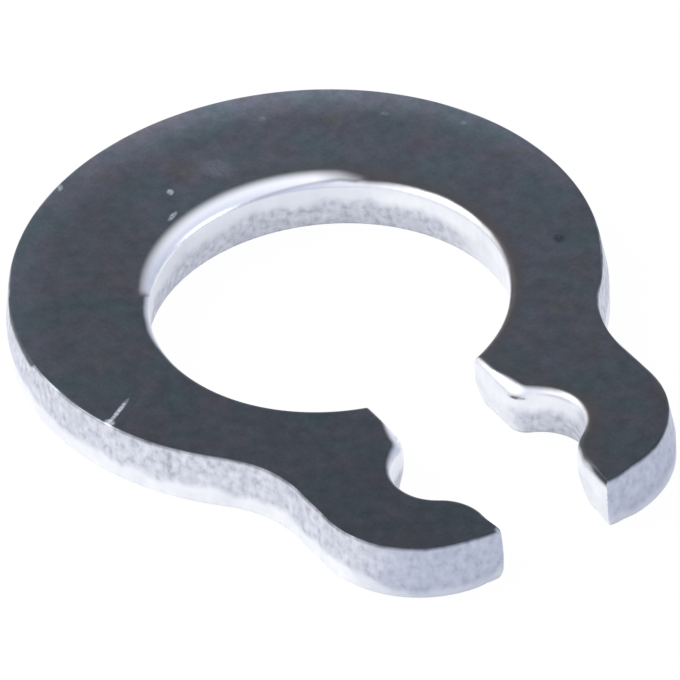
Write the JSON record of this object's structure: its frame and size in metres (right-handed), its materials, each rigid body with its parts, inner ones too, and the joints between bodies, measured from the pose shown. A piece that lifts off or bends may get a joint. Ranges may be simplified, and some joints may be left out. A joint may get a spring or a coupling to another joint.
{
  "type": "grip ring",
  "caption": "Flat open retaining ring with an eccentric outside and two lugs with pliers' hollows, which grips a plain shaft that has no groove.",
  "frame": {"origin": "centre of the bore, at the level of the ring's underside", "axes": "+Z along the bore axis, from the underside to the side where the bore's rim is rolled over; +X from the back of the ring out through the middle of the gap; the ring is symmetric about the XZ plane"},
  "size_m": [0.0102, 0.0082, 0.0008],
  "materials": {
    "spring_steel": "hardened and tumbled, satin dark grey faces with bright silver sheared edges"
  },
  "bodies": {
    "root": {"grip_ring": "spring_steel"}
  },
  "joints": []
}
